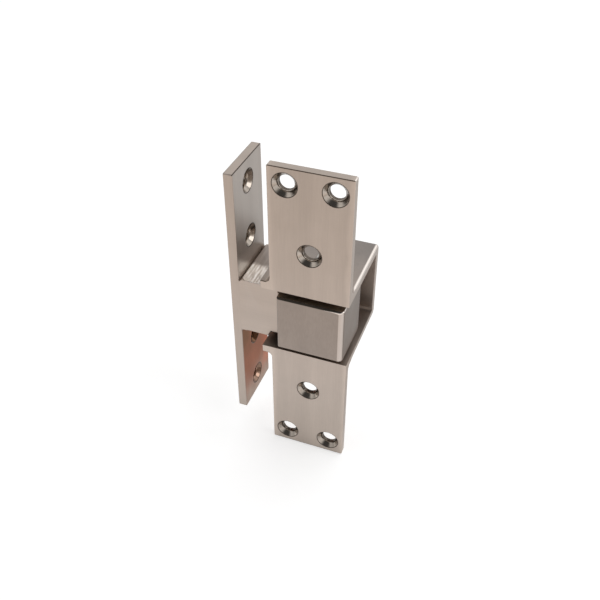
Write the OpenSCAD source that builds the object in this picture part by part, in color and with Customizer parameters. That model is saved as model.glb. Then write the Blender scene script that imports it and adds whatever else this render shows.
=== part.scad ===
// Pocket pivot hinge for a door: a jamb plate with a stout arm and a knuckle, and a
// door leaf whose pocket turns about the knuckle on a vertical pin. Millimetres, +Z up.
// The origin is the middle of the jamb plate's mounting face and +X leads to the door.
// It is drawn with the door open at 90 degrees, so the screw leaf faces -Y.

/* [Door leaf] */
// Width of the screw leaves and of the pocket mouth
leaf_w = 38.1; // [37:0.1:48]
// Length of each screw leaf beyond the pocket mouth
leaf_len = 64.3; // [52:0.1:90]
// Thickness of the leaves, shelves and back wall
leaf_t = 4.2; // [3:0.1:5.5]
// How far the pocket runs past the leaf on the side where the arm swings out
tab_w = 4.7; // [3:0.1:6.5]
// Distance from the pin axis to the right edge of the leaf
pin_inset = 18.25; // [17.25:0.05:22]
// Distance from the pin axis to the front face of the leaf
pin_setback = 22.9; // [19:0.1:28]
// Free space between the round back of the knuckle and the back wall
back_gap = 4.9; // [3.5:0.1:14]
// Fillet between the back of a screw leaf and its shelf
shelf_fillet = 2.8; // [1:0.1:5]
// Fillet inside the pocket at the back wall
pocket_fillet = 2; // [0.5:0.1:3]
// Fillet where the side tab runs into the edge of the leaf
tab_fillet = 2.5; // [1:0.1:5]
// Radius on the outer edges of the back wall
back_round = 3.2; // [0.5:0.1:4]
// Radius on the right-hand outer edge of the pocket
pocket_round = 1.2; // [0.4:0.1:2]
// Radius of the curve on which that rounding runs out at the screw leaf
runout_r = 6; // [3:0.5:12]
// Radius on the outer corners of the screw leaves
leaf_corner = 0.6; // [0.3:0.1:4]

/* [Jamb plate] */
// Height of the jamb plate
jamb_h = 142.2; // [118:0.1:200]
// Width of the jamb plate and of the arm
jamb_w = 31.4; // [26:0.1:38]
// Thickness of the jamb plate
jamb_t = 4.5; // [3.5:0.1:6]
// Radius on the corners of the jamb plate
jamb_corner = 0.6; // [0.3:0.1:4]

/* [Arm] */
// Distance from the inner face of the jamb plate to the pin axis
reach = 37.6; // [36:0.1:60]
// Distance from the middle of the jamb plate back to the pin axis
pin_offset = 2.4; // [0:0.1:5]
// Height of the arm
arm_h = 31; // [22:0.1:34]
// Length of the weld preparation under the knuckle end of the arm
prep_len = 7.2; // [3:0.1:9]
// Depth of the weld preparation under the knuckle end of the arm
prep_depth = 3.2; // [1:0.1:5]
// Bevel on the upright end edges of the arm, filled by the seams on the jamb plate
prep_bevel = 3; // [1.5:0.1:5]
// Open bevel along the arm's upper edge at the jamb plate
root_bevel = 1.3; // [0.5:0.1:2.5]

/* [Knuckle] */
// Radius of the round back of the knuckle
knuckle_r = 16.3; // [16:0.1:17]
// Height of the knuckle
knuckle_h = 30; // [24:0.1:36]
// How far the flat front of the knuckle stands proud of the leaf
front_proud = 1.3; // [0:0.1:1.5]
// Radius on the front edge of the knuckle that leads when the door closes
lead_round = 2.4; // [1:0.1:5]
// Radius on the front edge of the knuckle beside the arm
arm_side_round = 1.1; // [0.5:0.1:3]
// Chamfer round the top and bottom edges of the knuckle's front
edge_break = 0.8; // [0.3:0.1:1.5]

/* [Pin and bearings] */
// Diameter of the pivot pin
pin_d = 11.1; // [9:0.1:14]
// Length of the pin above the upper shelf
pin_crown = 3.6; // [2:0.1:6]
// Length of the pin below the lower shelf
pin_tail = 3.4; // [3:0.1:6]
// Chamfer at both ends of the pin
pin_chamfer = 0.8; // [0.3:0.1:1]
// Wall of the bushings
bushing_wall = 1.6; // [1:0.05:2.5]
// Length of each bushing inside the knuckle
bushing_len = 11; // [6:0.5:11.5]
// Diameter of the bushings' flanges and of the thrust washers
flange_d = 22; // [18:0.1:28]
// Thickness of the bushings' flanges
flange_t = 1.7; // [1:0.1:2.5]
// Thickness of the thrust washers
washer_t = 1; // [0.5:0.05:2]
// Thickness of the retaining ring
ring_t = 1.1; // [0.8:0.1:1.5]
// Depth of the ring's groove in the pin
groove_depth = 0.5; // [0.3:0.05:0.8]

/* [Screw holes] */
// Diameter of the screw holes
screw_d = 7.2; // [5:0.1:8.6]
// Diameter of the countersinks at the face
sink_d = 11.5; // [9.6:0.1:13.5]
// Included angle of the countersinks
sink_angle = 82; // [82:1:90]
// Distance from the leaf's sides and end to its end holes
leaf_hole_edge = 8; // [6.5:0.05:12]
// Distance from the pocket mouth to the leaf's middle hole
leaf_hole_mid = 23.4; // [20:0.1:32]
// Distance from the jamb plate's ends to its end holes
jamb_hole_edge = 11.1; // [8:0.1:16]
// Distance from the jamb plate's end holes to its inner holes
jamb_hole_pitch = 29.2; // [18:0.1:34]

/* [Welds] */
// Leg of the small fillet weld under the arm at the jamb plate
fillet_leg = 1.5; // [0.8:0.1:3]
// Leg of the upright weld beside the front of the knuckle
corner_leg = 1.6; // [1:0.1:3]
// Width of the upright weld where the arm's rear edge meets the round of the knuckle
rear_weld_w = 2.6; // [1.5:0.1:4]

/* [Clearances] */
// Radial clearance of the pin in the bushings
run_fit = 0.04; // [0.02:0.01:0.1]
// Radial clearance of a drive fit, in the shelves and the knuckle
drive_fit = 0.01; // [0:0.01:0.02]
// Play between a thrust washer and its shelf
end_play = 0.1; // [0.05:0.05:0.3]
// Play of the retaining ring in its groove
ring_play = 0.05; // [0.02:0.01:0.1]
// Distance that the weld in the preparation stays behind the face of the arm
weld_setback = 3; // [1:0.1:6]

/* [Hidden] */

$fn = 96;
eps = 0.5;                                   // overshoot of cutters past a face

// Heights, all mirrored about the middle of the pocket
flange_z = knuckle_h / 2;                    // seat of a bushing's flange
washer_z = flange_z + flange_t;              // seat of a thrust washer
mouth_z = washer_z + washer_t + end_play;    // inner face of a shelf
shelf_z = mouth_z + leaf_t;                  // outer face of a shelf
leaf_z = mouth_z + leaf_len;                 // end of a screw leaf

// Places in plan
pin_x = jamb_t + reach;
pin_y = pin_offset;
leaf_right = pin_x + pin_inset;
leaf_left = leaf_right - leaf_w;
tab_left = leaf_left - tab_w;
leaf_mid = (leaf_left + leaf_right) / 2;
leaf_front = pin_y - pin_setback;
back_in = pin_y + knuckle_r + back_gap;
back_out = back_in + leaf_t;
front_y = leaf_front - front_proud;          // flat front of the knuckle
arm_y = jamb_w / 2;
knuckle_left = pin_x - knuckle_r;

// Half the width of the knuckle's round at a distance y from the middle of the jamb plate
function round_x(y) = sqrt(max(0, pow(knuckle_r, 2) - pow(y - pin_y, 2)));

cope_x = pin_x - round_x(arm_y) - rear_weld_w;      // where the arm's coped end is cut off
seam_h = min(arm_h, knuckle_h);                     // height over which the arm meets the knuckle

// Bores
pin_hole_d = pin_d + 2 * drive_fit;
bush_in_d = pin_d + 2 * run_fit;
bush_out_d = bush_in_d + 2 * bushing_wall;
bush_hole_d = bush_out_d + 2 * drive_fit;
groove_d = pin_d - 2 * groove_depth;
groove_z = -shelf_z - ring_play;             // upper side of the ring's groove

steel = "#b7aca2";
knuckle_steel = "#a39a90";
rough_steel = "#c3bab0";
bead_steel = "#a89c92";
pin_steel = "#8f8e8c";
bronze = "#b08d57";
spring_steel = "#4d4a48";

// ---- shapes that repeat -------------------------------------------------------------

// Two copies, the second mirrored about the middle of the pocket
module both_ends() {
    children();
    mirror([0, 0, 1]) children();
}

// What lies between a square corner at the origin, with its sides along +X and +Y, and an
// arc of radius r. Added, it fills an inner corner. Taken away, it rounds an outer one.
module corner(r) {
    difference() {
        translate([-eps, -eps]) square(r + eps);
        translate([r, r]) circle(r);
    }
}

// A 2D drawing in Y and Z, extruded along +X from x0 to x1
module along_x(x0, x1) {
    translate([x0, 0, 0]) rotate([90, 0, 90]) linear_extrude(x1 - x0) children();
}

// A 2D drawing in X and Z, extruded along Y from y0 to y1
module along_y(y0, y1) {
    translate([0, y1, 0]) rotate([90, 0, 0]) linear_extrude(y1 - y0) children();
}

// A 2D drawing in X and Y, extruded to half the height h above and below the middle
module upright(h) {
    translate([0, 0, -h / 2]) linear_extrude(h) children();
}

// Countersunk hole through a plate of thickness t, sunk from z = 0 and drilled to z = -t
module screw_hole(t) {
    sink_slope = tan(sink_angle / 2);
    sink_depth = (sink_d - screw_d) / 2 / sink_slope;
    translate([0, 0, -t - eps]) cylinder(h = t + 2 * eps, d = screw_d);
    translate([0, 0, -sink_depth])
        cylinder(h = sink_depth + eps, d1 = screw_d, d2 = sink_d + 2 * eps * sink_slope);
}

// Flat ring about the pin axis, from z = 0 upwards
module flat_ring(d_out, d_in, h) {
    difference() {
        cylinder(h = h, d = d_out);
        translate([0, 0, -eps]) cylinder(h = h + 2 * eps, d = d_in);
    }
}

// ---- door side ----------------------------------------------------------------------

// Side view of the upper half of the leaf, in Y and Z
module leaf_section() {
    difference() {
        union() {
            translate([leaf_front, mouth_z]) square([leaf_t, leaf_len]);
            translate([leaf_front, mouth_z]) square([back_out - leaf_front, leaf_t]);
            translate([back_in, -eps]) square([leaf_t, shelf_z + eps]);
            translate([leaf_front + leaf_t, shelf_z]) corner(shelf_fillet);
            translate([back_in, mouth_z]) rotate(180) corner(pocket_fillet);
        }
        translate([back_out, shelf_z]) rotate(180) corner(back_round);
    }
}

// Front view of the upper half of the leaf, in X and Z
module leaf_outline() {
    difference() {
        union() {
            translate([leaf_left, -eps]) square([leaf_w, leaf_z + eps]);
            translate([tab_left, -eps]) square([tab_w + eps, shelf_z + eps]);
            translate([leaf_left, shelf_z]) rotate(90) corner(tab_fillet);
        }
        translate([leaf_left, leaf_z]) rotate(-90) corner(leaf_corner);
        translate([leaf_right, leaf_z]) rotate(180) corner(leaf_corner);
    }
}

// The three screw holes of one leaf
module leaf_holes() {
    for (hole = [[leaf_left + leaf_hole_edge, leaf_z - leaf_hole_edge],
                 [leaf_right - leaf_hole_edge, leaf_z - leaf_hole_edge],
                 [leaf_mid, mouth_z + leaf_hole_mid]])
        translate([hole.x, leaf_front, hole.y]) rotate([90, 0, 0]) screw_hole(leaf_t);
}

// Cutter that rounds the right-hand outer edge of the pocket's upper half: along the shelf,
// round its bend and down the back wall, with a run-out at the screw leaf
module pocket_rounding() {
    r = min(pocket_round, back_round);
    runout_len = sqrt(pow(runout_r + r, 2) - pow(runout_r, 2));
    start_y = leaf_front + leaf_t + shelf_fillet + runout_len;
    bend_y = back_out - back_round;
    bend_z = shelf_z - back_round;
    translate([leaf_right + runout_r, start_y, shelf_z]) rotate(180) rotate_extrude(angle = 90)
        translate([runout_r, 0]) rotate(-90) corner(r);
    along_y(start_y, bend_y) translate([leaf_right, shelf_z]) rotate(180) corner(r);
    translate([leaf_right, bend_y, bend_z]) rotate([90, 0, 90]) rotate_extrude(angle = 90)
        translate([back_round, 0]) rotate(180) corner(r);
    translate([leaf_right, back_out, -eps]) rotate(180) linear_extrude(bend_z + eps) corner(r);
}

module door_leaf() {
    color(steel) difference() {
        both_ends() intersection() {
            along_x(tab_left - eps, leaf_right) leaf_section();
            along_y(leaf_front - eps, back_out + eps) leaf_outline();
        }
        both_ends() leaf_holes();
        both_ends() pocket_rounding();
        translate([pin_x, pin_y, -shelf_z - eps]) cylinder(h = 2 * (shelf_z + eps), d = pin_hole_d);
    }
}

// Half section of the pin: shank, ring groove and chamfered ends
module pin_section() {
    crown_z = shelf_z + pin_crown;
    tail_z = -shelf_z - pin_tail;
    polygon([[0, tail_z],
             [pin_d / 2 - pin_chamfer, tail_z],
             [pin_d / 2, tail_z + pin_chamfer],
             [pin_d / 2, groove_z - ring_t - ring_play],
             [groove_d / 2, groove_z - ring_t - ring_play],
             [groove_d / 2, groove_z],
             [pin_d / 2, groove_z],
             [pin_d / 2, crown_z - pin_chamfer],
             [pin_d / 2 - pin_chamfer, crown_z],
             [0, crown_z]]);
}

module pivot_pin() {
    color(pin_steel) translate([pin_x, pin_y, 0]) rotate_extrude() pin_section();
}

// External retaining ring with two pliers lugs, open towards -Y
module retaining_ring() {
    ring_r = groove_d / 2 + ring_play;
    ring_rim = 1.9;                          // width of the ring opposite its gap
    lug_r = 1.7;
    lug_hole_r = 0.8;
    lug_reach = ring_r + lug_r + 0.1;
    lug_angle = 20;                          // of each lug from the middle of the gap
    color(spring_steel) translate([pin_x, pin_y, groove_z - ring_play / 2 - ring_t]) linear_extrude(ring_t)
        difference() {
            union() {
                translate([0, ring_rim / 4]) circle(ring_r + ring_rim * 3 / 4);
                for (side = [-1, 1])
                    rotate(side * lug_angle) translate([0, -lug_reach]) circle(lug_r);
            }
            circle(ring_r);
            polygon([[0, 0],
                     [-ring_r * tan(lug_angle) * 0.55, -2 * ring_r],
                     [ring_r * tan(lug_angle) * 0.55, -2 * ring_r]]);
            for (side = [-1, 1])
                rotate(side * lug_angle) translate([0, -lug_reach]) circle(lug_hole_r);
        }
}

// ---- jamb side ----------------------------------------------------------------------

module jamb_plate() {
    end_z = jamb_h / 2;
    color(steel) difference() {
        along_x(0, jamb_t) difference() {
            square([jamb_w, jamb_h], center = true);
            for (side_y = [0, 1], side_z = [0, 1])
                mirror([side_y, 0]) mirror([0, side_z])
                    translate([-arm_y, -end_z]) corner(jamb_corner);
        }
        for (hole_z = [end_z - jamb_hole_edge, end_z - jamb_hole_edge - jamb_hole_pitch])
            both_ends() translate([jamb_t, 0, hole_z]) rotate([0, 90, 0]) screw_hole(jamb_t);
    }
}

// Plan of the knuckle: round about the pin, square in front with two rounded edges
module knuckle_plan() {
    difference() {
        union() {
            translate([pin_x, pin_y]) circle(knuckle_r);
            translate([knuckle_left, front_y]) square([2 * knuckle_r, pin_y - front_y]);
        }
        translate([knuckle_left, front_y]) corner(arm_side_round);
        translate([knuckle_left + 2 * knuckle_r, front_y]) rotate(90) corner(lead_round);
    }
}

// Bevel on one upright end edge of the arm, in plan
module seam_plan() {
    polygon([[jamb_t, -arm_y], [jamb_t + prep_bevel, -arm_y], [jamb_t, prep_bevel - arm_y]]);
}

// Cutter for the open bevel along the upper edge at the jamb plate
module root_groove() {
    groove_top = arm_h / 2 + eps;
    along_y(-arm_y - eps, arm_y + eps) polygon([
        [jamb_t - eps, groove_top - root_bevel - 2 * eps],
        [jamb_t - eps, groove_top],
        [jamb_t + root_bevel + eps, groove_top]]);
}

module pivot_arm() {
    color(rough_steel) difference() {
        along_y(-arm_y, arm_y) polygon([
            [jamb_t, -arm_h / 2],
            [knuckle_left - prep_len, -arm_h / 2],
            [knuckle_left - prep_len + prep_depth / 2, prep_depth - arm_h / 2],
            [cope_x, prep_depth - arm_h / 2],
            [cope_x, arm_h / 2],
            [jamb_t, arm_h / 2]]);
        upright(arm_h + 2 * eps) knuckle_plan();
        for (side = [0, 1])
            mirror([0, side, 0]) upright(arm_h + 2 * eps) seam_plan();
        root_groove();
    }
}

module knuckle_block() {
    top = knuckle_h / 2;
    color(knuckle_steel) difference() {
        upright(knuckle_h) knuckle_plan();
        both_ends() along_x(knuckle_left - eps, pin_x + knuckle_r + eps)
            polygon([[front_y - eps, top - edge_break - eps],
                     [front_y - eps, top + eps],
                     [front_y + edge_break + eps, top + eps]]);
        translate([pin_x, pin_y, -top - eps]) cylinder(h = knuckle_h + 2 * eps, d = bush_hole_d);
    }
}

// ---- welds --------------------------------------------------------------------------

// Groove weld in the bevel of an upright end edge of the arm, ground flush
module plate_seam() {
    difference() {
        upright(arm_h) seam_plan();
        root_groove();
    }
}

module weld_plate_front() {
    color(bead_steel) plate_seam();
}

module weld_plate_rear() {
    color(bead_steel) mirror([0, 1, 0]) plate_seam();
}

// Small hollow fillet weld along the arm's lower edge on the jamb plate
module weld_plate_bottom() {
    color(bead_steel) mirror([0, 0, 1]) along_y(-arm_y, arm_y)
        translate([jamb_t, arm_h / 2]) difference() {
            square(fillet_leg);
            translate([fillet_leg, fillet_leg]) circle(fillet_leg);
        }
}

// Upright fillet weld in the corner between the arm's front and the knuckle
module weld_knuckle_front() {
    color(bead_steel) upright(seam_h - 2 * edge_break)
        translate([knuckle_left, -arm_y]) rotate(180) intersection() {
            square(corner_leg);
            circle(corner_leg);
        }
}

// Upright weld between the arm's coped end and the round of the knuckle
module weld_knuckle_rear() {
    toe_y = (arm_y + pin_y + knuckle_r) / 2;
    color(bead_steel) difference() {
        upright(seam_h) polygon([
            [cope_x, pin_y],
            [cope_x, arm_y],
            [pin_x - round_x(toe_y), toe_y],
            [pin_x, pin_y]]);
        upright(seam_h + 2 * eps) knuckle_plan();
    }
}

// Weld in the preparation under the arm, kept behind the arm's faces
module weld_knuckle_bottom() {
    floor_z = prep_depth - arm_h / 2;
    color(bead_steel) difference() {
        along_y(weld_setback - arm_y, arm_y - weld_setback) polygon([
            [knuckle_left - prep_len / 2, floor_z],
            [knuckle_left + eps, floor_z],
            [knuckle_left + eps, -seam_h / 2],
            [knuckle_left, -seam_h / 2]]);
        upright(seam_h + 2 * eps) knuckle_plan();
    }
}

// ---- bearings -----------------------------------------------------------------------

// Flanged bushing in the upper end of the knuckle
module bushing() {
    color(bronze) translate([pin_x, pin_y, flange_z]) {
        flat_ring(flange_d, bush_in_d, flange_t);
        translate([0, 0, -bushing_len]) flat_ring(bush_out_d, bush_in_d, bushing_len + flange_t / 2);
    }
}

module upper_bushing() {
    bushing();
}

module lower_bushing() {
    mirror([0, 0, 1]) bushing();
}

// Thrust washer on the flange of the upper bushing
module thrust_washer() {
    color(pin_steel) translate([pin_x, pin_y, washer_z])
        flat_ring(flange_d, bush_in_d, washer_t);
}

module upper_thrust_washer() {
    thrust_washer();
}

module lower_thrust_washer() {
    mirror([0, 0, 1]) thrust_washer();
}

door_leaf();
pivot_pin();
retaining_ring();
jamb_plate();
pivot_arm();
knuckle_block();
weld_plate_front();
weld_plate_rear();
weld_plate_bottom();
weld_knuckle_front();
weld_knuckle_rear();
weld_knuckle_bottom();
upper_bushing();
lower_bushing();
upper_thrust_washer();
lower_thrust_washer();
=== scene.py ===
from math import cos, radians

import bmesh
import bpy
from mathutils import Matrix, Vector, noise


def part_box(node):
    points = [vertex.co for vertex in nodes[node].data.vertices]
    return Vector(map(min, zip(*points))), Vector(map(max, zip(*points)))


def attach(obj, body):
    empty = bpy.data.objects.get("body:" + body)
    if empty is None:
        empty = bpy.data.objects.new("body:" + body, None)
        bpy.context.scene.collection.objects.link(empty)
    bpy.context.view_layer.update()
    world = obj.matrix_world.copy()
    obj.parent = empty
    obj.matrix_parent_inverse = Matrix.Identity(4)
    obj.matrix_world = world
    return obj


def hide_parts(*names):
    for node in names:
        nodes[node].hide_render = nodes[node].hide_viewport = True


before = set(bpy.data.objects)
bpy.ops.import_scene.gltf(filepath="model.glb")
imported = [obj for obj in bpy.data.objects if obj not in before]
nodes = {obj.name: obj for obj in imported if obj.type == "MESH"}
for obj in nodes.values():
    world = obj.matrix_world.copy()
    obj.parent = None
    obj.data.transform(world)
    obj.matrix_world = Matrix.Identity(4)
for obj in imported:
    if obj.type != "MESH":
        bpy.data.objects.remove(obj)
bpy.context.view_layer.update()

# ---- The door leaf ------------------------------------------------------------------
# One stainless casting: two screw leaves, two shelves and the back wall of the pocket.
# The leaves are belt-ground with a fine upright grain, and their broken edges are painted dark as shade.
# The pocket is left as it came from blasting, and the screw holes are countersunk by a cutter.
# Their bores are painted dark as shade, and the rounding on the pocket's right edge carries a painted
# highlight.
MM = 0.001
leaf_low, leaf_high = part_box("door_leaf")
leaf_t = 4.2 * MM
leaf_left = 22.25 * MM
shelf_z = 22.0 * MM
mouth_z = 17.8 * MM
past_shelf = 4 * MM
sink_depth = 2.6 * MM
holes_left = 24 * MM
round_w = 1.3 * MM
edge_break = 0.35 * MM
rim_break = 0.22 * MM
mouth_break = 0.12 * MM
inset = 1 * MM
near_front = 0.3 * MM
touch = 0.01 * MM
just_past = 0.05 * MM
same_place = 0.001 * MM
ground_colour = (0.49, 0.42, 0.367)
cutter_colour = (0.44, 0.385, 0.335)
bore_shade_colour = (0.15, 0.125, 0.105)


def bench_copy(node):
    """A copy of a node's mesh, welded and with its flat faces joined."""
    bm = bmesh.new()
    bm.from_mesh(nodes[node].data)
    bmesh.ops.remove_doubles(bm, verts=bm.verts, dist=0.002 * MM)
    bmesh.ops.dissolve_limit(bm, angle_limit=radians(0.2), verts=bm.verts, edges=bm.edges)
    return bm


def break_edges(bm, width, where=lambda edge: True, least_angle=28):
    """Rounds the sharp outer edges of a mesh, and gives back the faces that this adds."""
    sharp = [edge for edge in bm.edges if edge.is_manifold
             and edge.calc_face_angle_signed() > radians(least_angle) and where(edge)]
    rounded = bmesh.ops.bevel(bm, geom=sharp, offset=width, offset_type="OFFSET", segments=3,
                              profile=0.5, affect="EDGES", material=-1, loop_slide=False,
                              clamp_overlap=False)
    return rounded["faces"]


def beside(edge):
    """The places, in the piece's list of finishes, of the faces on both sides of an edge."""
    return {face.material_index for face in edge.link_faces}


def saw(bm, place, axis, geom=None, **settings):
    """Cuts a mesh along a plane, all of it or only the given part."""
    if geom is None:
        geom = [*bm.verts, *bm.edges, *bm.faces]
    bmesh.ops.bisect_plane(bm, geom=geom, dist=same_place, plane_co=place, plane_no=axis, **settings)


def set_down(bm, name, body, slot, finishes, *stands_for):
    """Turns a finished bmesh into a piece on its body, in place of its CAD nodes."""
    mesh = bpy.data.meshes.new(name)
    bm.to_mesh(mesh)
    bm.free()
    mesh.shade_smooth()
    mesh.set_sharp_from_angle(angle=radians(40))
    for finish in finishes:
        mesh.materials.append(finish)
    piece = bpy.data.objects.new(name, mesh)
    bpy.context.scene.collection.objects.link(piece)
    flats = piece.modifiers.new("flat_faces", "WEIGHTED_NORMAL")
    flats.keep_sharp = True
    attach(piece, body)
    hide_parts(*stands_for)


def put(tree, kind, given, **settings):
    """Adds a node. Each given socket gets a value, or a link from another node's output.

    A Mix node goes by numbers: 2 and 3 are its values, 4 and 5 vectors, 6 and 7 colours.
    """
    added = tree.nodes.new(kind)
    for name, value in settings.items():
        setattr(added, name, value)
    for socket, value in given.items():
        if isinstance(value, bpy.types.NodeSocket):
            tree.links.new(value, added.inputs[socket])
        else:
            added.inputs[socket].default_value = value
    return added


def new_group(name, takes, gives):
    """An empty node group, its inputs, its outputs, and the position on the object."""
    tree = bpy.data.node_groups.new(name, "ShaderNodeTree")
    for socket, kind in takes:
        tree.interface.new_socket(socket, in_out="INPUT", socket_type=kind)
    for socket, kind in gives:
        tree.interface.new_socket(socket, in_out="OUTPUT", socket_type=kind)
    place = tree.nodes.new("ShaderNodeTexCoord").outputs["Object"]
    given = tree.nodes.new("NodeGroupInput").outputs
    return tree, given, tree.nodes.new("NodeGroupOutput").inputs, place


def grain_group():
    """Node group: the lines, bands and clouds that a tool leaves on metal."""
    tree, given, out, place = new_group(
        "tool_grain",
        [("Stretch", "NodeSocketVector"), ("Lines per metre", "NodeSocketFloat"),
         ("Lines", "NodeSocketFloat"), ("Bands", "NodeSocketFloat"), ("Clouds", "NodeSocketFloat")],
        [("Tone", "NodeSocketFloat"), ("Height", "NodeSocketFloat"), ("Cloud", "NodeSocketFloat")])
    along = put(tree, "ShaderNodeVectorMath", {0: place, 1: given["Stretch"]},
                operation="MULTIPLY").outputs[0]
    lines = put(tree, "ShaderNodeTexNoise",
                {"Vector": along, "Scale": given["Lines per metre"], "Detail": 4})
    bands = put(tree, "ShaderNodeTexNoise", {"Vector": along, "Scale": 110, "Detail": 2})
    clouds = put(tree, "ShaderNodeTexNoise", {"Vector": place, "Scale": 70, "Detail": 5})
    # The tone starts at 1. Noise seldom leaves 0.3 to 0.7, so that span is a layer's whole share.
    tone = put(tree, "ShaderNodeMath", {0: 1.0, 1: 0.0}).outputs[0]
    for layer, share in ((lines, "Lines"), (bands, "Bands"), (clouds, "Clouds")):
        centred = put(tree, "ShaderNodeMapRange", {"Value": layer.outputs["Fac"], "From Min": 0.3,
                                                   "From Max": 0.7, "To Min": -1, "To Max": 1})
        tone = put(tree, "ShaderNodeMath", {0: centred.outputs[0], 1: given[share], 2: tone},
                   operation="MULTIPLY_ADD").outputs[0]
    tree.links.new(tone, out["Tone"])
    tree.links.new(lines.outputs["Fac"], out["Height"])
    tree.links.new(clouds.outputs["Fac"], out["Cloud"])
    return tree


def border_group():
    """Node group: a mask that goes from 0 to 1 along a direction, with a ragged border."""
    tree, given, out, place = new_group(
        "ragged_border",
        [("Towards", "NodeSocketVector"), ("Start", "NodeSocketFloat"), ("End", "NodeSocketFloat"),
         ("Ragged", "NodeSocketFloat"), ("Spots per metre", "NodeSocketFloat")],
        [("Mask", "NodeSocketFloat")])
    along = put(tree, "ShaderNodeVectorMath", {0: place, 1: given["Towards"]}, operation="DOT_PRODUCT")
    spots = put(tree, "ShaderNodeTexNoise",
                {"Vector": place, "Scale": given["Spots per metre"], "Detail": 3})
    centred = put(tree, "ShaderNodeMapRange", {"Value": spots.outputs["Fac"], "From Min": 0.25,
                                               "From Max": 0.75, "To Min": -1, "To Max": 1})
    moved = put(tree, "ShaderNodeMath",
                {0: centred.outputs[0], 1: given["Ragged"], 2: along.outputs["Value"]},
                operation="MULTIPLY_ADD")
    ramp = put(tree, "ShaderNodeMapRange", {"Value": moved.outputs[0], "From Min": given["Start"],
                                            "From Max": given["End"]}, interpolation_type="SMOOTHSTEP")
    tree.links.new(ramp.outputs[0], out["Mask"])
    return tree


tool_grain = grain_group()
ragged_border = border_group()


def worked_metal(name, colour, gloss, stretch=(1, 1, 0.03), lines=2600, depth=0.0012 * MM,
                 shares=(0.03, 0.05, 0.04), grazing=(1, 1, 1)):
    """Material: bare metal, with a tool's grain.

    Gloss is its least and greatest roughness. Stretch draws the grain out along an axis, lines
    is how fine it is per metre and depth how deep. Shares says how far the lines, the bands and
    the clouds shade the colour, and grazing is the colour of the light that glances off it.
    """
    material = bpy.data.materials.new(name)
    material.use_nodes = True
    tree = material.node_tree
    steel = tree.nodes["Principled BSDF"]
    steel.inputs["Metallic"].default_value = 1
    steel.inputs["Specular Tint"].default_value = (*grazing, 1)
    grain = put(tree, "ShaderNodeGroup",
                {"Stretch": stretch, "Lines per metre": lines,
                 "Lines": shares[0], "Bands": shares[1], "Clouds": shares[2]}, node_tree=tool_grain)
    shade = put(tree, "ShaderNodeVectorMath", {0: colour, "Scale": grain.outputs["Tone"]},
                operation="SCALE")
    tree.links.new(shade.outputs[0], steel.inputs["Base Color"])
    rough = put(tree, "ShaderNodeMapRange", {"Value": grain.outputs["Cloud"], "From Min": 0.3,
                                             "From Max": 0.7, "To Min": gloss[0], "To Max": gloss[1]})
    tree.links.new(rough.outputs[0], steel.inputs["Roughness"])
    bump = put(tree, "ShaderNodeBump", {"Height": grain.outputs["Height"], "Distance": depth})
    tree.links.new(bump.outputs[0], steel.inputs["Normal"])
    return material


def border(material, towards, start, end, ragged=0.0, spots=400):
    """A mask in a material that goes from 0 at start to 1 at end, measured along a direction.

    Ragged is how far its border wanders, in as many spots per metre.
    """
    placed = put(material.node_tree, "ShaderNodeGroup",
                 {"Towards": towards, "Start": start, "End": end, "Ragged": ragged,
                  "Spots per metre": spots}, node_tree=ragged_border)
    return placed.outputs["Mask"]


def overlap(material, *masks):
    """Where all of some masks hold."""
    held = masks[0]
    for other in masks[1:]:
        held = put(material.node_tree, "ShaderNodeMath", {0: held, 1: other},
                   operation="MULTIPLY").outputs[0]
    return held


def lay_over(material, where, colour, gloss=None):
    """Lays another tone over a metal where a mask holds: colour is a factor on what lies below."""
    tree = material.node_tree
    steel = tree.nodes["Principled BSDF"]
    below = steel.inputs["Base Color"].links[0].from_socket
    tinted = put(tree, "ShaderNodeVectorMath", {0: below, 1: colour}, operation="MULTIPLY").outputs[0]
    mixed = put(tree, "ShaderNodeMix", {0: where, 4: below, 5: tinted}, data_type="VECTOR")
    tree.links.new(mixed.outputs[1], steel.inputs["Base Color"])
    if gloss is not None:
        kept = steel.inputs["Roughness"].links[0].from_socket
        change = put(tree, "ShaderNodeMix", {0: where, 2: kept, 3: gloss}, data_type="FLOAT")
        tree.links.new(change.outputs[0], steel.inputs["Roughness"])


satin = worked_metal("ground_stainless", ground_colour, (0.30, 0.40))
for towards, edge_x in (((1, 0, 0), leaf_high.x), ((-1, 0, 0), -leaf_left)):
    near_edge = border(satin, towards, edge_x - 3 * MM, edge_x - 0.3 * MM, ragged=1 * MM, spots=60)
    lay_over(satin, near_edge, (1.13, 1.13, 1.13))
blasted = worked_metal("blasted_stainless", (0.42, 0.36, 0.32), (0.38, 0.48), stretch=(1, 1, 1),
                       lines=2200, depth=0.006 * MM, shares=(0.06, 0.03, 0.08))
shelf_top = overlap(blasted, border(blasted, (0, 1, 0), -14 * MM, 24 * MM, ragged=3 * MM, spots=150),
                    border(blasted, (0, 0, 1), 18 * MM, 21 * MM))
lay_over(blasted, shelf_top, (0.72, 0.75, 0.78))
cut = worked_metal("countersunk_stainless", cutter_colour, (0.13, 0.2), stretch=(0.05, 1, 0.05),
                   lines=3200, depth=0.003 * MM, shares=(0.12, 0.05, 0.02))
# The bores are painted near black: painted shade inside the holes.
shaded_bore = worked_metal("drilled_bore_painted_shade", bore_shade_colour, (0.2, 0.3), stretch=(0.1, 1, 0.1))
# These two dark edge finishes are painted shade.
edge_shade = worked_metal("painted_shade_edge", (0.10, 0.082, 0.068), (0.3, 0.45), stretch=(1, 1, 1))
top_edge = worked_metal("shaded_edge", (0.16, 0.125, 0.10), (0.3, 0.45), stretch=(1, 1, 1))
# A near-white finish for rounded and broken edges: polished, and brightened into a painted highlight.
polished_highlight = worked_metal("polished_edge_painted_highlight", (0.90, 0.82, 0.76), (0.16, 0.24), stretch=(1, 0.05, 1))

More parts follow.
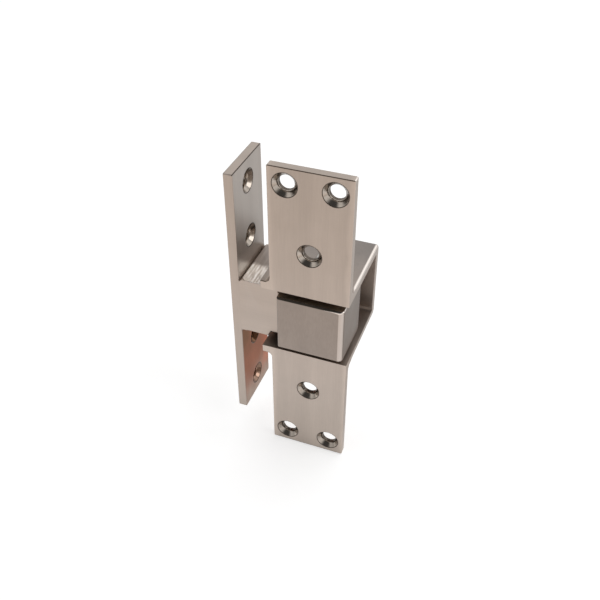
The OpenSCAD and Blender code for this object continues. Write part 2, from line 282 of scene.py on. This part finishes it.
# The places of the finishes in the list that the piece is set down with, after the ground one.
BLASTED, COUNTERSUNK, SHADED_BORE, SHADE_EDGE, ROUNDED, TOP_EDGE = range(1, 7)
bm = bench_copy("door_leaf")
front_y = leaf_low.y
for face in bm.faces:
    middle, out = face.calc_center_median(), face.normal
    in_leaf = middle.y < front_y + leaf_t + just_past
    if in_leaf and shelf_z + past_shelf < abs(middle.z) < leaf_high.z - inset:
        if 0.1 < abs(out.y) < 0.9 and middle.y < front_y + sink_depth:
            face.material_index = COUNTERSUNK
        # The bores of the holes, painted dark as shade.
        elif abs(out.y) < 0.1 and holes_left < middle.x < leaf_high.x - inset:
            face.material_index = SHADED_BORE
    # The rounding along the pocket's right edge, with a painted highlight.
    elif 0.02 < out.x < 0.98 and middle.x > leaf_high.x - round_w and abs(out.y) < 0.9:
        face.material_index = ROUNDED
    elif not in_leaf and out.x < 0.9:
        face.material_index = BLASTED


def at_mouth(edge, slack):
    """Whether an edge lies along the lip of the pocket's mouth."""
    return all(abs(abs(vert.co.z) - mouth_z) < slack for vert in edge.verts)


# The countersink rims are painted dark as shade.
for face in break_edges(bm, rim_break, lambda edge: COUNTERSUNK in beside(edge)
                        and min(vert.co.y for vert in edge.verts) < front_y + touch):
    face.material_index = SHADE_EDGE
break_edges(bm, mouth_break, lambda edge: at_mouth(edge, slack=0.3 * MM)
            and max(vert.co.y for vert in edge.verts) < front_y + near_front)
# Edges that face down are painted dark as shade; top front edges take the shaded finish.
for face in break_edges(bm, edge_break, lambda edge: not {COUNTERSUNK, SHADED_BORE, SHADE_EDGE} & beside(edge)
                        and not at_mouth(edge, slack=0.5 * MM)):
    if face.normal.z < -0.25 and face.normal.y < -0.25:
        face.material_index = SHADE_EDGE
    elif face.normal.z > 0.25 and face.normal.y < -0.1:
        face.material_index = TOP_EDGE
set_down(bm, "door_leaf_ground", "door_side", "satin_stainless",
         (satin, blasted, cut, shaded_bore, edge_shade, polished_highlight, top_edge), "door_leaf")

# ---- The jamb plate -----------------------------------------------------------------
# A flat stainless bar with four countersunk holes, ground on the same belt as the leaf.
# Its inner face is brown below the arm, fading out towards the bottom.
plate_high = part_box("jamb_plate")[1]
arm_low, arm_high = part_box("pivot_arm")
hole_r = 6 * MM
seam_end = 0.3 * MM
plate_satin = worked_metal("plate_stainless", ground_colour, (0.32, 0.42))
inside = worked_metal("inner_face", (0.54, 0.485, 0.44), (0.32, 0.42))
# The inner face below the arm, tinted brown; the tint fades out towards the bottom.
browned_inner = worked_metal("browned_inner_stainless", (0.64, 0.555, 0.49), (0.30, 0.40),
                      shares=(0.04, 0.05, 0.12), grazing=(0.71, 0.60, 0.55))
lower_brown = border(browned_inner, (0, 0, 1), -76 * MM, -44 * MM, ragged=5 * MM, spots=110)
lay_over(browned_inner, lower_brown, (0.72, 0.39, 0.31))
near_weld = overlap(browned_inner, border(browned_inner, (0, 0, 1), -42 * MM, -22 * MM, ragged=4 * MM, spots=120),
                    border(browned_inner, (0, -1, 0), -4 * MM, 12 * MM, ragged=4 * MM, spots=120))
lay_over(browned_inner, near_weld, (0.62, 0.75, 0.68))
rear_edge = overlap(browned_inner, border(browned_inner, (0, 1, 0), 6 * MM, 15 * MM, ragged=3 * MM, spots=120),
                    border(browned_inner, (0, 0, 1), -66 * MM, -56 * MM, ragged=3 * MM, spots=120))
lay_over(browned_inner, rear_edge, (1.35, 1.05, 0.95))
plate_cut = worked_metal("plate_countersinks", cutter_colour, (0.13, 0.2), stretch=(1, 0.05, 0.05),
                         lines=3200, depth=0.003 * MM, shares=(0.12, 0.05, 0.02),
                         grazing=(0.8, 0.8, 0.8))
hole_by_arm = overlap(plate_cut, border(plate_cut, (0, 0, 1), -48 * MM, -40 * MM),
                      border(plate_cut, (0, 0, -1), 20 * MM, 25 * MM))
lay_over(plate_cut, hole_by_arm, (0.45, 0.27, 0.18))
lay_over(plate_cut, border(plate_cut, (0, 0, -1), 48 * MM, 52 * MM), (0.75, 0.55, 0.47))

SATIN, CUT, RIM, INSIDE, BROWNED, UP_EDGE = range(6)
bm = bench_copy("jamb_plate")
for face in bm.faces:
    middle, out = face.calc_center_median(), face.normal
    if abs(middle.y) < hole_r and abs(middle.z) < plate_high.z - inset and abs(out.x) < 0.9:
        face.material_index = CUT
# The edge along the arm stays sharp: it is cut off at the arm's ends, and again just inside
# them, where the rounding of the rest runs out.
for height in (arm_low.z, arm_low.z + seam_end, arm_high.z - seam_end, arm_high.z):
    saw(bm, (0, 0, height), (0, 0, 1))
# The countersink rims are painted dark as shade.
for face in break_edges(bm, rim_break, lambda edge: CUT in beside(edge)
                        and max(vert.co.x for vert in edge.verts) > plate_high.x - touch):
    face.material_index = RIM
# Edges that face down, or up and inwards, are painted dark as shade; other top edges take the shaded
# finish.
for face in break_edges(bm, edge_break, lambda edge: not {CUT, RIM} & beside(edge)
                        and not (min(vert.co.x for vert in edge.verts) > plate_high.x - touch
                                 and max(abs(vert.co.z) for vert in edge.verts) < arm_high.z + touch)):
    out = face.normal
    if out.z < -0.25 or (out.z > 0.2 and out.x > 0.2):
        face.material_index = RIM
    elif out.z > 0.2:
        face.material_index = UP_EDGE
for face in bm.faces:
    if face.normal.x > 0.99 and face.material_index == SATIN:
        face.material_index = BROWNED if face.calc_center_median().z < arm_low.z else INSIDE
set_down(bm, "jamb_plate_ground", "jamb_side", "satin_stainless",
         (plate_satin, plate_cut, edge_shade, inside, browned_inner, top_edge), "jamb_plate")

# ---- The arm ------------------------------------------------------------------------
# A sawn bar that stands on the plate and carries the knuckle inside the pocket. Its front
# is ground flush with the plate's edge. The front half of its top was dressed by hand with
# a coarse disc, which left uneven grooves and a small burr; that half is painted near white, a painted
# highlight.
arm_satin = worked_metal("arm_stainless", ground_colour, (0.32, 0.42), (0.03, 1, 1),
                         shares=(0.02, 0.03, 0.03))
sawn = worked_metal("sawn_stainless", (0.40, 0.345, 0.31), (0.38, 0.5), stretch=(1, 0.06, 1),
                    lines=1300, depth=0.03 * MM, shares=(0.14, 0.12, 0.08))
# The dressed front of the top is painted near white: a painted highlight over real grooves.
dressed_front_highlight = border(sawn, (0, -1, 0), -1.0 * MM, 4.0 * MM, ragged=1.6 * MM, spots=300)
lay_over(sawn, dressed_front_highlight, (2.45, 2.65, 2.75), gloss=0.35)
cut_step = 0.5 * MM
burr_w = 0.3 * MM
# In millimetres: how far the saw marks, the dips and the burr stand out, how much a groove falls
# in one step of the grid, and how much the whole top lost.
saw_h = 0.06
dip_h = 0.06
burr_h = 0.4
groove_fall = 0.15
bite = 0.05

ARM_TOP = 1
bm = bench_copy("pivot_arm")
# The top is cut into a grid, and then its corners are moved up or down.
for axis, low, high in ((Vector((1, 0, 0)), arm_low.x, arm_high.x),
                        (Vector((0, 1, 0)), arm_low.y, arm_high.y)):
    for count in range(1, int((high - low) / cut_step)):
        top = [face for face in bm.faces if face.normal.z > 0.6]
        edges = dict.fromkeys(edge for face in top for edge in face.edges)
        verts = dict.fromkeys(vert for face in top for vert in face.verts)
        saw(bm, axis * (low + count * cut_step), axis, [*verts, *edges, *top])
for vert in bm.verts:
    if vert.co.z > arm_high.z - touch:
        # Saw marks and grooves run along y, dips are round, and the burr is on the front edge.
        x, y = vert.co.x / MM, vert.co.y / MM
        streak = noise.noise(Vector((x * 1.9, y * 0.15, 3.1)))
        dip = noise.noise(Vector((x * 0.45, y * 0.4, 7.7)))
        at_front = vert.co.y < arm_low.y + burr_w
        burr = noise.noise(Vector((x * 0.9, 0.0, 1.3))) if at_front else 0.0
        # A groove takes three steps of the grid: it falls over two of them and rises over one.
        step = round((vert.co.x - arm_low.x) / cut_step)
        uneven = max(0.1, 0.6 + 1.1 * noise.noise(Vector((step // 3 * 0.83, y * 0.3, 5.0))))
        dressed = min(1.0, max(0.0, (0.5 - y) / 3.0))
        groove = groove_fall * (step % 3) * uneven * dressed
        vert.co.z += (saw_h * streak + dip_h * dip + burr_h * burr - groove - bite) * MM
for face in bm.faces:
    if face.normal.z > 0.5 and face.calc_center_median().z > arm_high.z - inset:
        face.material_index = ARM_TOP
break_edges(bm, edge_break,
            lambda edge: max(vert.co.z for vert in edge.verts) < arm_high.z - inset)
set_down(bm, "pivot_arm_sawn", "jamb_side", "sawn_stainless", (arm_satin, sawn), "pivot_arm")

# ---- The knuckle --------------------------------------------------------------------
# A D-shaped block, bored for the pin, with a blasted front and a ground leading corner, partly a
# painted highlight. Its lower edge is square. Its upper edge is chamfered in painted shade, and broken
# at the corner with a painted highlight.
knuckle_low, knuckle_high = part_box("knuckle_block")
knuckle_steel = worked_metal("knuckle_stainless", (0.33, 0.28, 0.245), (0.34, 0.44),
                             stretch=(1, 1, 0.2), lines=1800, depth=0.006 * MM,
                             shares=(0.04, 0.03, 0.08))
# Top and bottom: a warm brown that paints the brownish shade in the gaps above and below.
knuckle_gap_tone = worked_metal("gap_shade_stainless", (0.62, 0.50, 0.38), (0.35, 0.45), stretch=(1, 1, 1),
                           lines=1800)
# The leading corner: ground, and brightened into a painted highlight.
knuckle_corner_highlight = worked_metal("ground_corner_painted_highlight", (0.56, 0.49, 0.44), (0.26, 0.34))
# The right side: a darker copy of the front, painted shade.
knuckle_shaded_side = worked_metal("knuckle_shaded_side", (0.285, 0.235, 0.20), (0.34, 0.44),
                            stretch=(1, 1, 0.2), lines=1800, depth=0.006 * MM)
foot_h = 0.9 * MM
corner_w = 2.5 * MM
ground_w = 3 * MM
corner_break = 0.45 * MM
knuckle_break = 0.12 * MM

TOP, CORNER, BRIGHT, CHAMFER, SIDE = range(1, 6)
bm = bench_copy("knuckle_block")
# The bevelled foot is sawn off, and a square one is drawn down in its place.
saw(bm, (0, 0, knuckle_low.z + foot_h), (0, 0, 1), clear_inner=True)
rim = [edge for edge in bm.edges if edge.is_boundary]
foot = bmesh.ops.extrude_edge_only(bm, edges=rim)["geom"]
for vert in foot:
    if isinstance(vert, bmesh.types.BMVert):
        vert.co.z = knuckle_low.z
open_rim = [edge for edge in foot if isinstance(edge, bmesh.types.BMEdge) and edge.is_boundary]
bmesh.ops.triangle_fill(bm, use_beauty=True, use_dissolve=False, edges=open_rim)
bmesh.ops.recalc_face_normals(bm, faces=bm.faces)
for face in bm.faces:
    middle, out = face.calc_center_median(), face.normal
    # Top and bottom faces take the warm brown of the painted gap shade.
    if abs(out.z) > 0.3:
        face.material_index = TOP
    if (out.y < -0.03 and 0.03 < out.x and middle.y < knuckle_low.y + ground_w
            and middle.z < knuckle_high.z - inset):
        face.material_index = CORNER
    # The upper chamfer, painted dark as shade under the shelf.
    if 0.3 < out.z < 0.95:
        face.material_index = CHAMFER
    # The right side, darker as painted shade.
    if out.x > 0.9:
        face.material_index = SIDE
# The break at the top of the leading corner, a painted highlight.
for face in break_edges(bm, corner_break, lambda edge: all(
        vert.co.x > knuckle_high.x - corner_w and vert.co.y < knuckle_low.y + corner_w
        and vert.co.z > knuckle_high.z - inset for vert in edge.verts), least_angle=20):
    face.material_index = BRIGHT
break_edges(bm, knuckle_break, lambda edge: BRIGHT not in beside(edge))
set_down(bm, "knuckle_blasted", "jamb_side", "satin_stainless",
         (knuckle_steel, knuckle_gap_tone, knuckle_corner_highlight, polished_highlight, edge_shade, knuckle_shaded_side), "knuckle_block")

# ---- The welds ----------------------------------------------------------------------
# Beads that join plate, arm and knuckle, with shallow ripples where the torch paused. The two
# upright seams on the plate are ground flush with the arm, so they take the arm's own finish.
bead = worked_metal("weld_bead", (0.42, 0.35, 0.30), (0.35, 0.5), stretch=(1, 1, 1), lines=1500,
                    depth=0.02 * MM, shares=(0.1, 0.1, 0.1))
for node in ("weld_plate_front", "weld_plate_rear"):
    nodes[node].data.materials.clear()
    nodes[node].data.materials.append(arm_satin)
ripple_step = 0.3 * MM
patches_per_metre = 500
# In millimetres: half the depth of a ripple, and the depth of the unevenness over it. A ripple
# is a turn of a cosine, so many radians to the millimetre.
ripple_h = 0.015
uneven_h = 0.01
ripple_turn = 5.2
for node in ("weld_plate_bottom", "weld_knuckle_front", "weld_knuckle_rear", "weld_knuckle_bottom"):
    bm = bench_copy(node)
    low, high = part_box(node)
    size = high - low
    longest = max(range(3), key=lambda side: size[side])
    axis = Vector([1.0 if side == longest else 0.0 for side in range(3)])
    for count in range(1, int(size[longest] / ripple_step)):
        saw(bm, axis * (low[longest] + count * ripple_step), axis)
    bm.normal_update()
    for vert in bm.verts:
        along = vert.co.dot(axis) / MM
        uneven = noise.noise(vert.co * patches_per_metre)
        sunk = ripple_h * (1 - cos(along * ripple_turn + 1.5 * uneven)) + uneven_h * abs(uneven)
        vert.co -= vert.normal * sunk * MM
    bm.normal_update()
    set_down(bm, node + "_rippled", "jamb_side", "weld_bead", (bead,), node)

# ---- Bushings, thrust washers, pin and ring -----------------------------------------
# Turned parts: bronze bushings, hard steel washers and pin, and a black spring-steel ring.
# Each has its sharp edges broken on the lathe.
bronze = worked_metal("bearing_bronze", (0.62, 0.43, 0.22), (0.3, 0.42), (0.1, 0.1, 1), lines=2400)
hard = worked_metal("turned_pin_steel", (0.50, 0.47, 0.44), (0.2, 0.3), (0.1, 0.1, 1), lines=2400)
dark = worked_metal("dark_spring_steel", (0.10, 0.095, 0.09), (0.3, 0.4), (1, 1, 1), lines=2000)
for node, body, slot, finish, width in (
        ("upper_bushing", "jamb_side", "bearing_bronze", bronze, 0.10 * MM),
        ("lower_bushing", "jamb_side", "bearing_bronze", bronze, 0.10 * MM),
        ("upper_thrust_washer", "jamb_side", "pin_steel", hard, 0.06 * MM),
        ("lower_thrust_washer", "jamb_side", "pin_steel", hard, 0.06 * MM),
        ("pivot_pin", "door_side", "pin_steel", hard, 0.12 * MM),
        ("retaining_ring", "door_side", "ring_steel", dark, 0.06 * MM)):
    bm = bench_copy(node)
    break_edges(bm, width)
    set_down(bm, node + "_turned", body, slot, (finish,), node)

# ---- The camera, the floor and the light --------------------------------------------
# The hinge stands on a sheet of plain white paper, in a pale studio with one soft lamp on the
# right. The camera looks down on it from the front right.
camera = bpy.data.objects.new("camera", bpy.data.cameras.new("camera"))
camera.location = (0.1300, -0.2689, 0.2316)
camera.rotation_euler = (radians(50.88), 0, radians(20.51))
camera.data.lens = 45.25
camera.data.sensor_width = 36
camera.data.clip_start = 0.01
bpy.context.scene.collection.objects.link(camera)
bpy.context.scene.camera = camera

floor_mesh = bpy.data.meshes.new("floor")
bm = bmesh.new()
floor_half = 3
floor_gap = 0.05 * MM
bmesh.ops.create_grid(bm, x_segments=1, y_segments=1, size=floor_half)
bmesh.ops.translate(bm, verts=bm.verts, vec=(0, 0, leaf_low.z - floor_gap))
bm.to_mesh(floor_mesh)
bm.free()
floor = bpy.data.objects.new("floor", floor_mesh)
bpy.context.scene.collection.objects.link(floor)

# The camera sees the paper plain. In the metal it shows as painted tones from near to far, each at its
# own distance along y in metres: a painted reflection, dark from the hinge's foot backwards as painted
# shadow.
paper = bpy.data.materials.new("white_paper")
paper.use_nodes = True
tree = paper.node_tree
tree.nodes.clear()
path = tree.nodes.new("ShaderNodeLightPath")
place = tree.nodes.new("ShaderNodeTexCoord").outputs["Object"]
depth_y = put(tree, "ShaderNodeSeparateXYZ", {0: place}).outputs["Y"]
near = -0.4
far = 0.4
away = put(tree, "ShaderNodeMapRange", {"Value": depth_y, "From Min": near, "From Max": far})
sheen = put(tree, "ShaderNodeValToRGB", {0: away.outputs[0]})
ramp = sheen.color_ramp
ramp.elements[0].position = 0.0
ramp.elements[0].color = (0.34, 0.28, 0.24, 1)
ramp.elements[1].position = 1.0
ramp.elements[1].color = (0.12, 0.12, 0.12, 1)
for spot, colour in ((-0.21, (0.38, 0.32, 0.27)),
                     (-0.14, (0.47, 0.42, 0.39)),
                     (-0.08, (0.55, 0.54, 0.55)),
                     (-0.035, (0.50, 0.50, 0.50)),
                     (0.0, (0.2, 0.2, 0.2)),
                     (0.05, (0.12, 0.12, 0.12))):
    stop = ramp.elements.new((spot - near) / (far - near))
    stop.color = (*colour, 1)
glossy = put(tree, "ShaderNodeMix", {0: path.outputs["Is Camera Ray"], 6: sheen.outputs[0],
                                     7: (0.55, 0.55, 0.55, 1)}, data_type="RGBA")
shown = put(tree, "ShaderNodeMath", {0: path.outputs["Is Camera Ray"], 1: path.outputs["Is Glossy Ray"]},
            operation="MAXIMUM")
diffuse = put(tree, "ShaderNodeBsdfDiffuse", {"Color": (0.8, 0.8, 0.8, 1)})
glow = put(tree, "ShaderNodeEmission", {"Color": glossy.outputs[2], "Strength": shown.outputs[0]})
together = put(tree, "ShaderNodeAddShader", {0: diffuse.outputs[0], 1: glow.outputs[0]})
put(tree, "ShaderNodeOutputMaterial", {"Surface": together.outputs[0]})
floor_mesh.materials.append(paper)

world = bpy.data.worlds.new("studio")
bpy.context.scene.world = world
world.use_nodes = True
tree = world.node_tree
background = tree.nodes["Background"]
way = tree.nodes.new("ShaderNodeTexCoord").outputs["Generated"]
wall_light = 0.64
level = put(tree, "ShaderNodeMath", {0: wall_light, 1: 0.0}).outputs[0]
# Soft patches of light and dark on the studio's walls: where, their radii in degrees, and strength.
for towards, inner, outer, strength in (((-0.265, 0.732, 0.627), 20, 52, 0.22),
                                        ((0.52, 0.73, 0.42), 8, 28, 0.45),
                                        ((-0.68, -0.28, 0.68), 6, 26, 0.25),
                                        ((0.12, -0.58, 0.80), 22, 46, -0.56),
                                        ((0.93, -0.36, 0.05), 8, 30, 0.35),
                                        ((-0.97, 0.15, -0.1), 10, 40, -0.30)):
    facing = put(tree, "ShaderNodeVectorMath", {0: way, 1: Vector(towards).normalized()},
                 operation="DOT_PRODUCT")
    soft = put(tree, "ShaderNodeMapRange", {"Value": facing.outputs["Value"],
                                            "From Min": cos(radians(outer)),
                                            "From Max": cos(radians(inner)), "To Max": strength},
               interpolation_type="SMOOTHSTEP")
    level = put(tree, "ShaderNodeMath", {0: level, 1: soft.outputs[0]}).outputs[0]
seen = put(tree, "ShaderNodeMix", {0: tree.nodes.new("ShaderNodeLightPath").outputs["Is Camera Ray"],
                                   2: level, 3: 1.0}, data_type="FLOAT")
background.inputs["Color"].default_value = (1, 1, 1, 1)
tree.links.new(seen.outputs[0], background.inputs["Strength"])

lamp = bpy.data.lights.new("right_softbox", "AREA")
lamp.size = 0.5
lamp.energy = 1.5
softbox = bpy.data.objects.new("right_softbox", lamp)
softbox.location = (0.78, 0.02, 0.50)
lit_place = Vector((0.03, 0, 0))
softbox.rotation_euler = (lit_place - softbox.location).to_track_quat("-Z", "Y").to_euler()
bpy.context.scene.collection.objects.link(softbox)

bpy.context.scene.view_settings.view_transform = "Standard"
